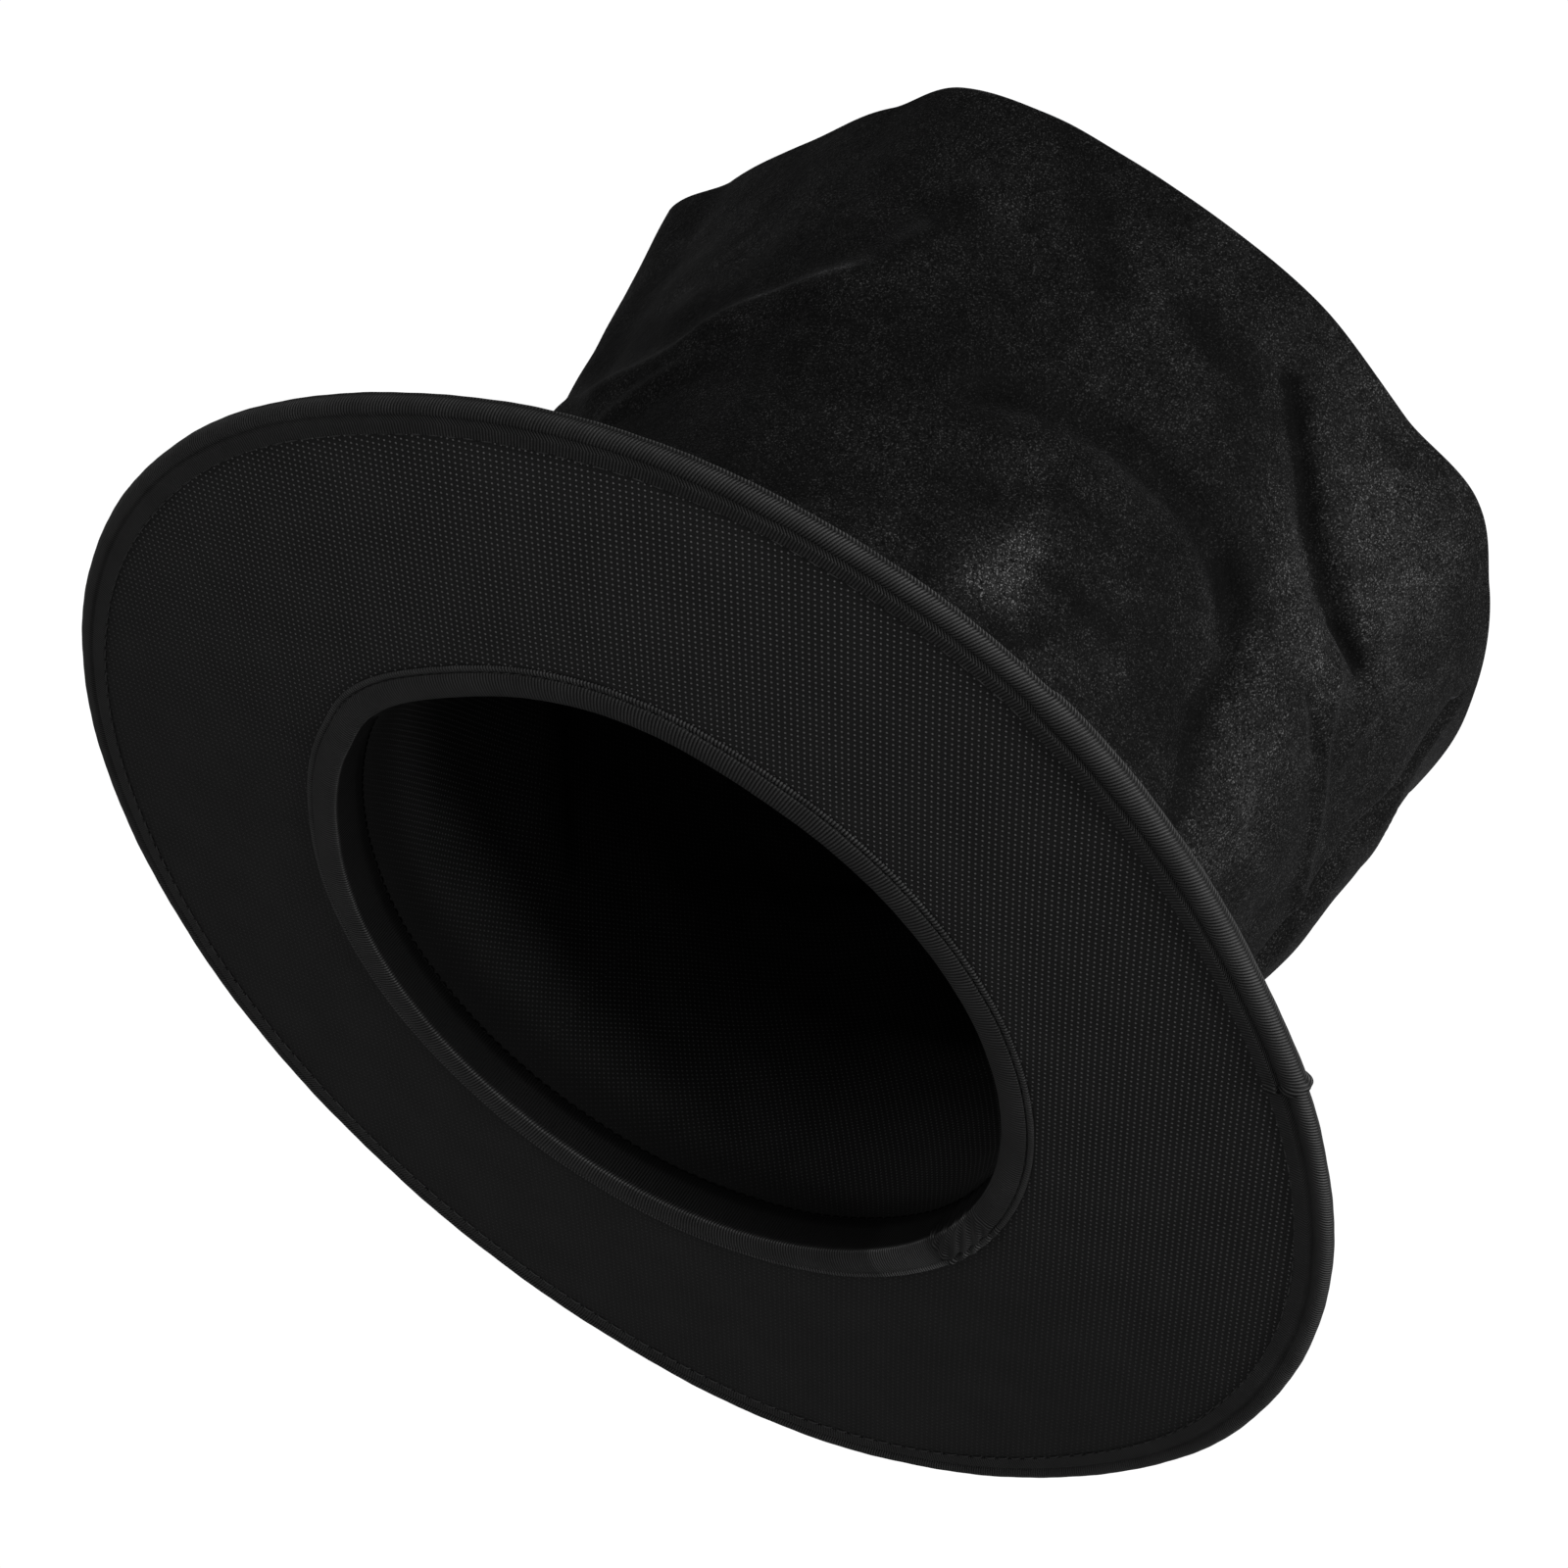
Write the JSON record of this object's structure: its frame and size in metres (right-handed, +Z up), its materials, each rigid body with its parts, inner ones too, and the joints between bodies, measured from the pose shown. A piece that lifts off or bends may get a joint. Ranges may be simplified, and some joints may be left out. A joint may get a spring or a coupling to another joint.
{
  "type": "top hat",
  "caption": "Soft velvet top hat with a tall flared crown, a flat oval tip and a round stiff brim bound with ribbed tape, lined with dotted nonwoven.",
  "frame": {"origin": "on the ground under the middle of the hat, which stands on the underside of its brim", "axes": "+Z up through the crown, +Y to the wearer's front, -Y to the crown's back seam, +X to the wearer's right"},
  "size_m": [0.3514, 0.3594, 0.219],
  "materials": {
    "crushed_velvet": "crushed pile, blotchy sheen",
    "dotted_nonwoven": "nonwoven cloth with small embossed dots in a diamond pattern",
    "ribbed_tape": "satin ribs across the tape",
    "sewing_thread": "twisted polyester",
    "crown_felt": "stiff needled felt",
    "brim_board": "plain light board",
    "plastic_cord": "smooth flexible cord"
  },
  "bodies": {
    "root": {"crown_side_velvet": "crushed_velvet", "crown_side_stiffener": "crown_felt", "crown_side_lining": "dotted_nonwoven", "crown_tip_velvet": "crushed_velvet", "crown_tip_stiffener": "crown_felt", "crown_tip_lining": "dotted_nonwoven", "tip_seam_thread": "sewing_thread", "back_seam_thread": "sewing_thread", "crown_brim_thread": "sewing_thread", "brim_top_velvet": "crushed_velvet", "brim_board": "brim_board", "brim_under_cloth": "dotted_nonwoven", "brim_edge_cord": "plastic_cord", "edge_binding": "ribbed_tape", "edge_thread_under": "sewing_thread", "edge_thread_top": "sewing_thread", "head_binding": "ribbed_tape", "head_thread_under": "sewing_thread", "head_thread_inner": "sewing_thread"}
  },
  "joints": []
}
